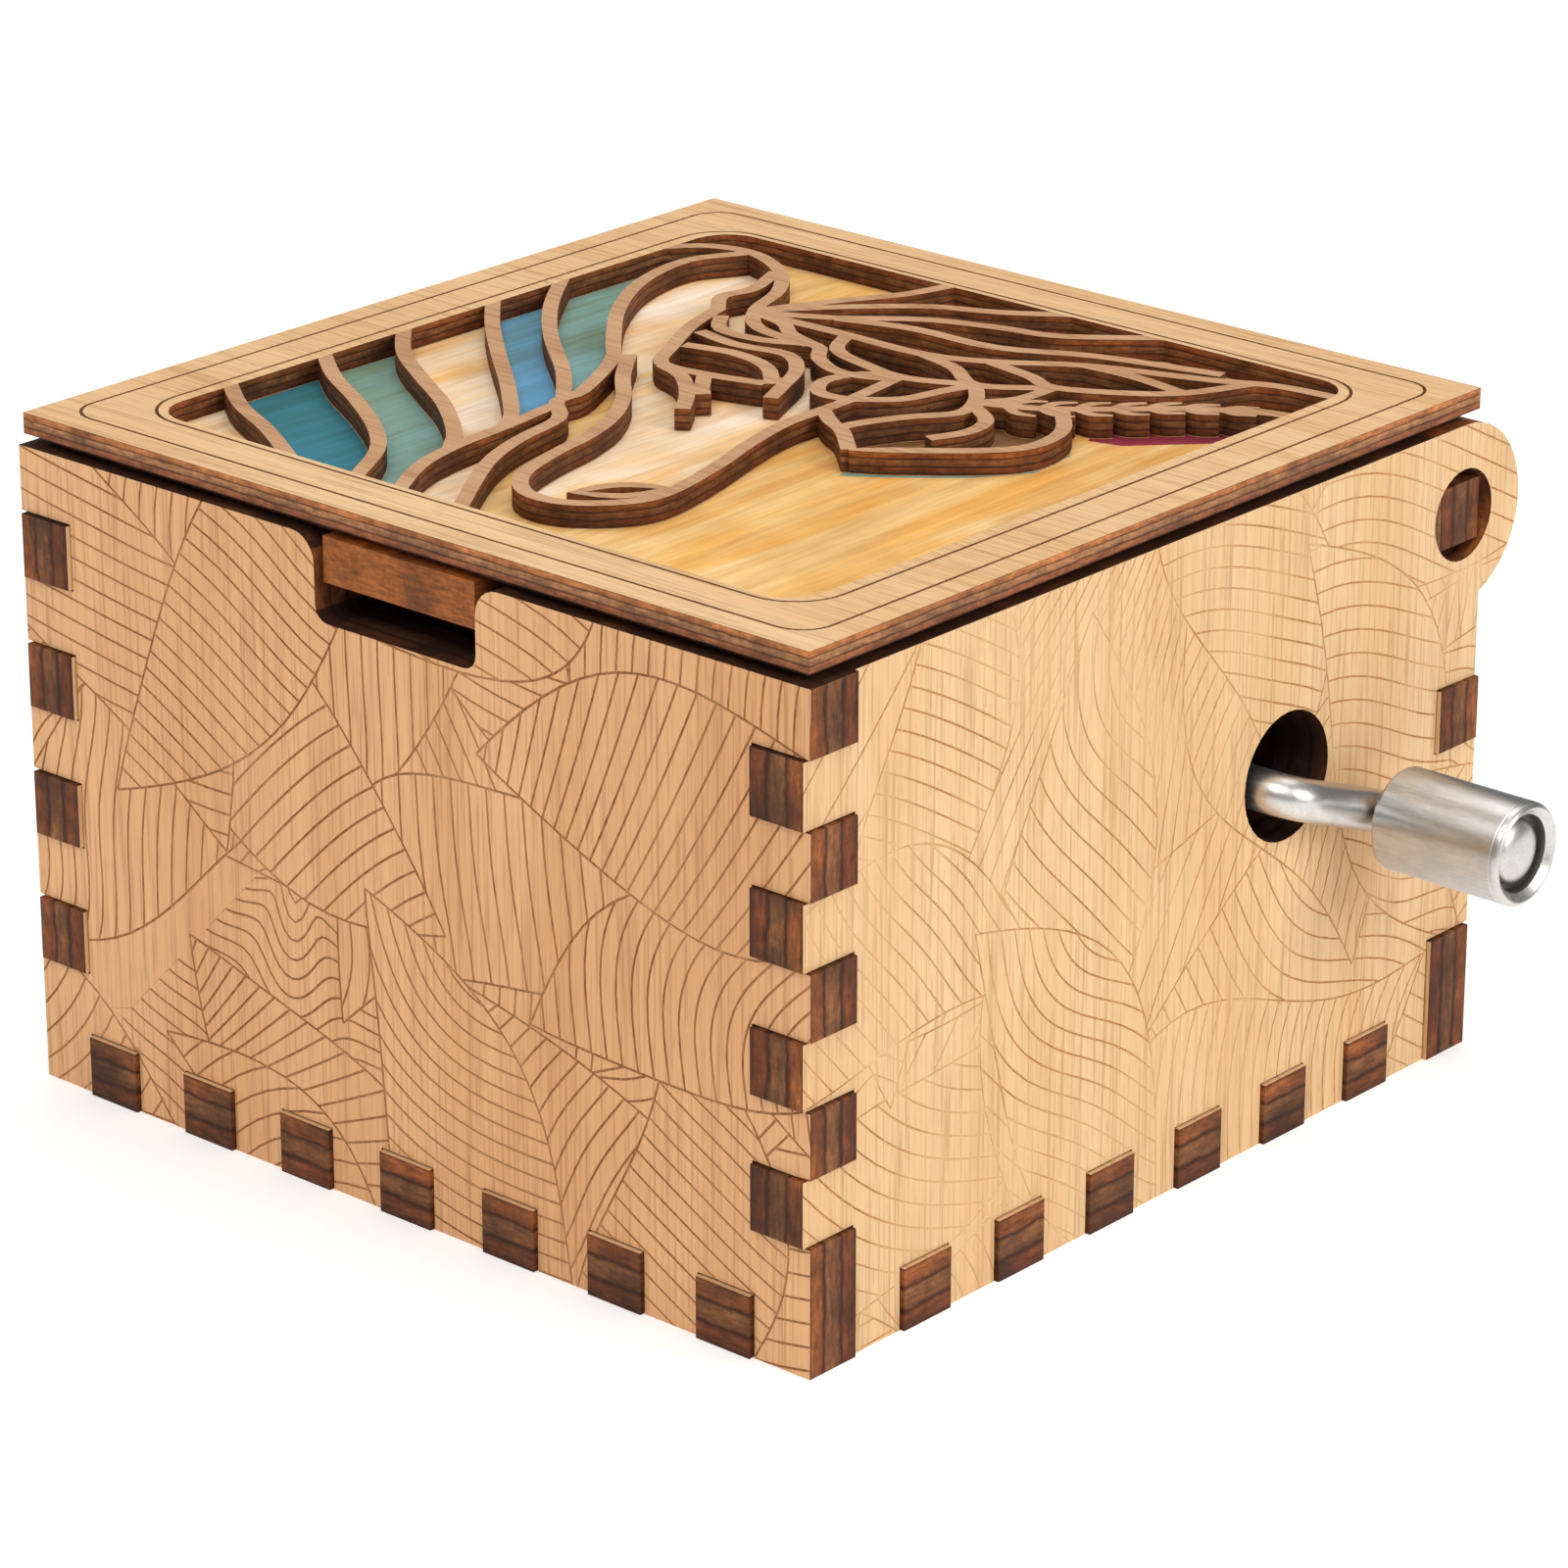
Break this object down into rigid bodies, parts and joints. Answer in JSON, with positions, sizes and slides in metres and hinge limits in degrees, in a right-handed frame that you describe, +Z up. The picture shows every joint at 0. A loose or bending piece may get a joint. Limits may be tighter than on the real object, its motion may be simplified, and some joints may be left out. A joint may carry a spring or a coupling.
{
  "type": "hand crank music box",
  "caption": "Finger-jointed plywood box with a hinged fretwork lid over a painted picture, and a bent wire crank with a spinning knob that turns a pinned drum against a comb.",
  "frame": {"origin": "centre of the case's underside, on the surface it stands on", "axes": "+X towards the crank side, -Y towards the front wall with the thumb notch, +Y towards the hinge, +Z up"},
  "size_m": [0.0774, 0.0682, 0.0444],
  "materials": {
    "case_ply": "satin",
    "lid_wood": "satin",
    "painted_sheet": "matte",
    "plated_steel": "polished",
    "screw_steel": "satin",
    "comb_steel": "ground",
    "brass": "satin",
    "cast_zinc": "as cast"
  },
  "bodies": {
    "case": {"base_plate": "case_ply", "front_panel": "case_ply", "back_panel": "case_ply", "left_panel": "case_ply", "right_panel": "case_ply", "bedplate": "cast_zinc", "comb": "comb_steel", "comb_screw_1": "screw_steel", "comb_screw_2": "screw_steel", "front_bearing": "cast_zinc", "rear_bearing": "cast_zinc", "shaft_saddle": "cast_zinc", "front_bearing_screw": "screw_steel", "rear_bearing_screw": "screw_steel", "saddle_screw_left": "screw_steel", "saddle_screw_right": "screw_steel", "base_screw_1": "screw_steel", "base_screw_2": "screw_steel", "base_screw_3": "screw_steel"},
    "lid": {"lid_fretwork": "lid_wood", "lid_picture": "painted_sheet", "lid_inner_plate": "case_ply", "hinge_bar": "case_ply"},
    "crank": {"crank": "plated_steel", "drive_worm": "brass", "shaft_collar": "plated_steel", "shaft_clip": "plated_steel"},
    "knob": {"knob": "plated_steel"},
    "cylinder": {"drum_shell": "brass", "drum_front_cap": "brass", "drum_rear_cap": "brass", "drum_arbor": "comb_steel", "worm_wheel": "brass"}
  },
  "joints": [
    {"name": "lid_hinge", "type": "hinge", "parent": "case", "child": "lid", "pos_m": [0, 0.03, 0.0364], "axis": [-1, 0, 0], "range_deg": [0, 110]},
    {"name": "crank_turn", "type": "hinge", "parent": "case", "child": "crank", "pos_m": [0.034, 0.0102, 0.0238], "axis": [1, 0, 0], "continuous": true},
    {"name": "knob_spin", "type": "hinge", "parent": "crank", "child": "knob", "pos_m": [0.04, 0.01944, 0.02025], "axis": [1, 0, 0], "continuous": true},
    {"name": "cylinder_spin", "type": "hinge", "parent": "case", "child": "cylinder", "pos_m": [0.008, 0, 0.0144], "axis": [0, 1, 0], "continuous": true}
  ],
  "couplings": [
    {"joint": "cylinder_spin", "follows": "crank_turn", "ratio": -0.055556}
  ]
}
